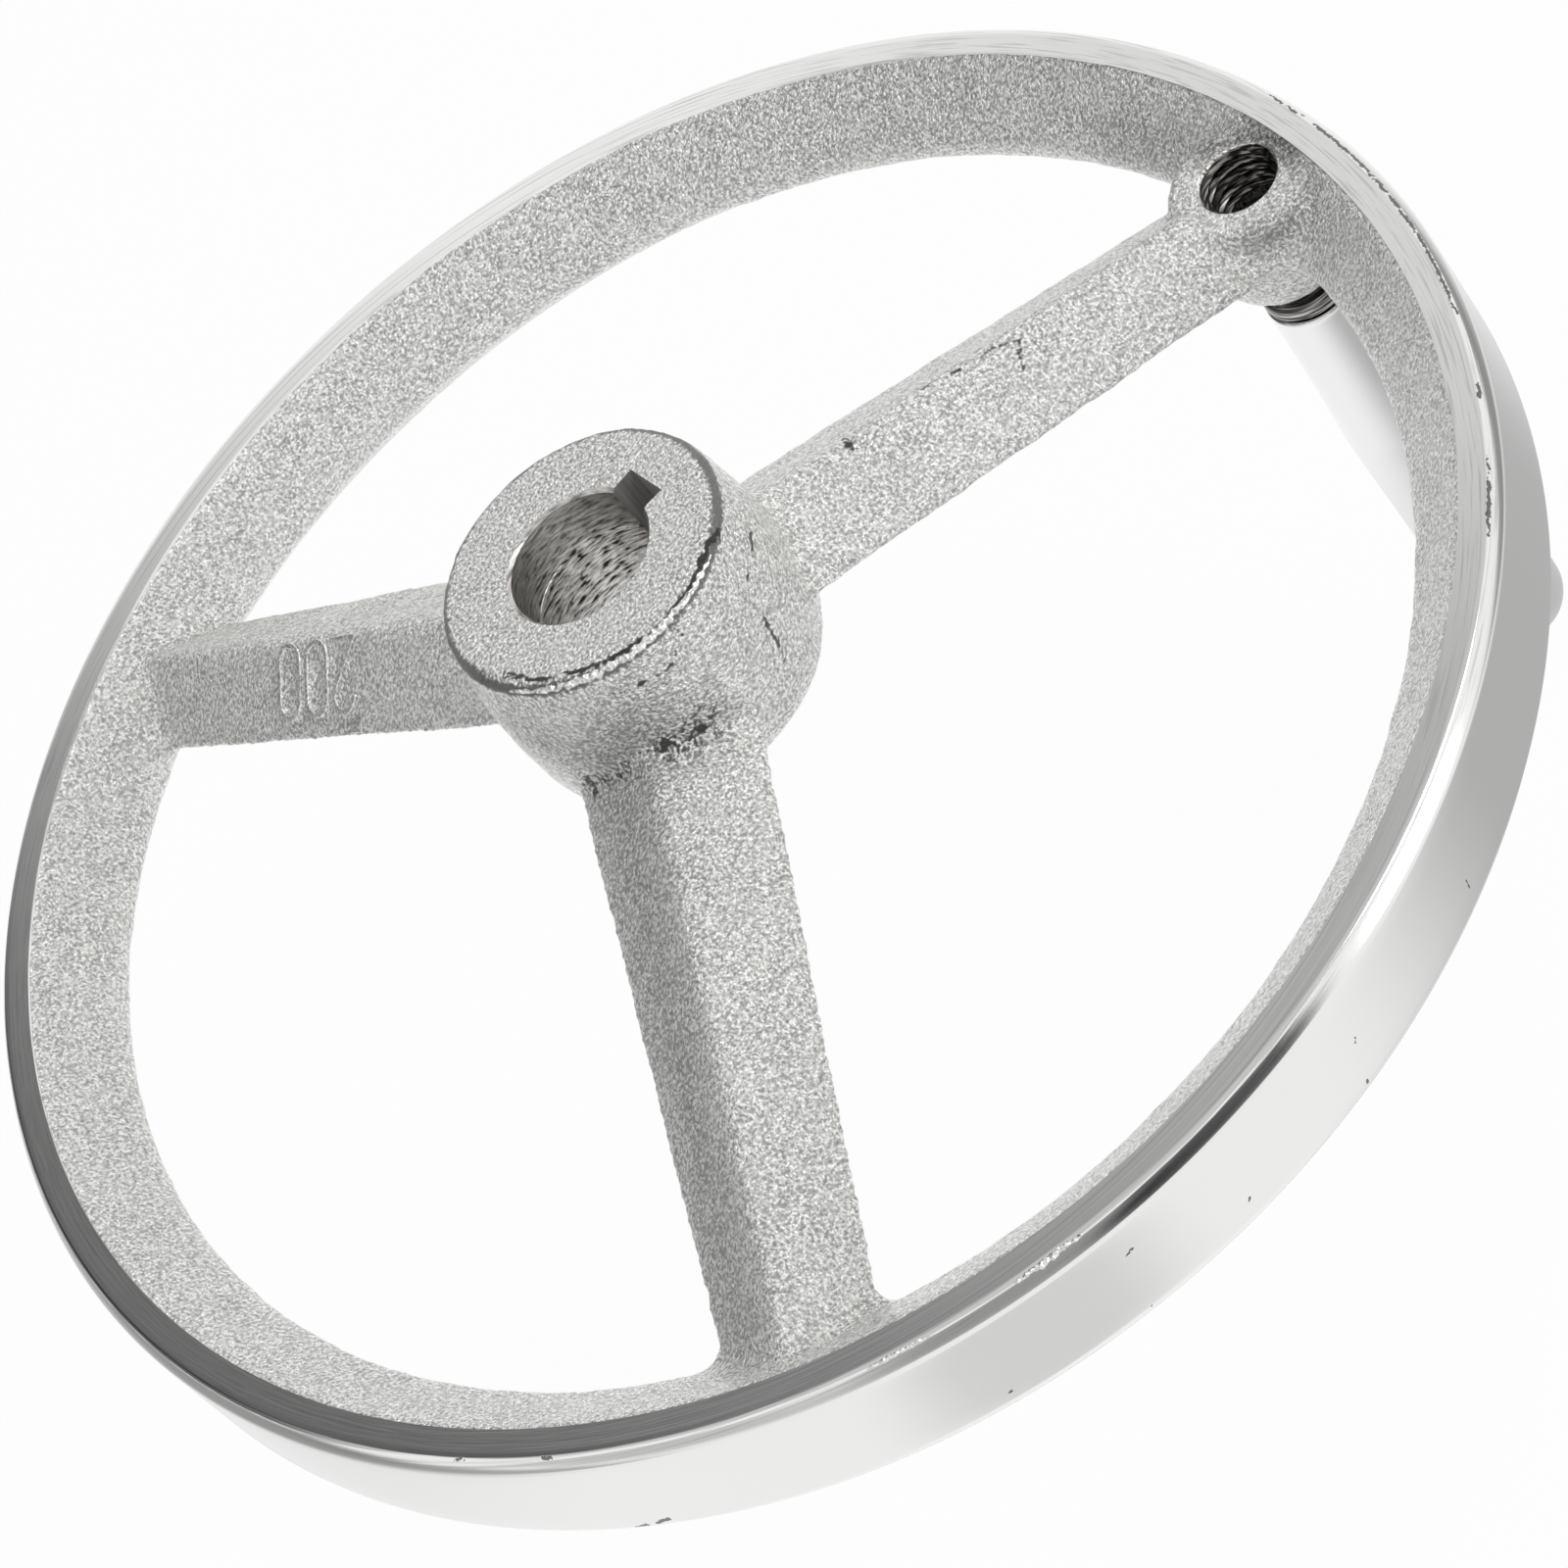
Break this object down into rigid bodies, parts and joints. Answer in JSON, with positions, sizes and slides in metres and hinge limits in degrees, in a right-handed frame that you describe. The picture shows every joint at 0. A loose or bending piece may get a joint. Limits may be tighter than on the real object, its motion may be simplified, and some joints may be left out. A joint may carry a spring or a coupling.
{
  "type": "machine handwheel",
  "caption": "Dished cast handwheel with roof-backed spokes, a keyed hub bore, a polished rim and a slender revolving handle screwed into a boss beside the rim.",
  "frame": {"origin": "centre of the hub's back end face, on the shaft axis", "axes": "+Z out of the hub along the shaft axis; +X from the shaft axis towards the handle; the handle points to -Z"},
  "size_m": [0.2, 0.2, 0.1252],
  "materials": {
    "plated_casting": "bright plated sand casting, rim turned and polished",
    "spindle_steel": "dark oiled steel",
    "spring_wire": "spring steel wire",
    "grip_chrome": "bright chrome plate on steel"
  },
  "bodies": {
    "wheel": {"handwheel_casting": "plated_casting", "handle_spindle": "spindle_steel", "retaining_ring": "spring_wire"},
    "grip": {"handle_grip": "grip_chrome"}
  },
  "joints": [
    {"name": "grip_spin", "type": "hinge", "parent": "wheel", "child": "grip", "pos_m": [0.0883, 0, -0.0514], "axis": [0, 0, 1], "continuous": true}
  ]
}
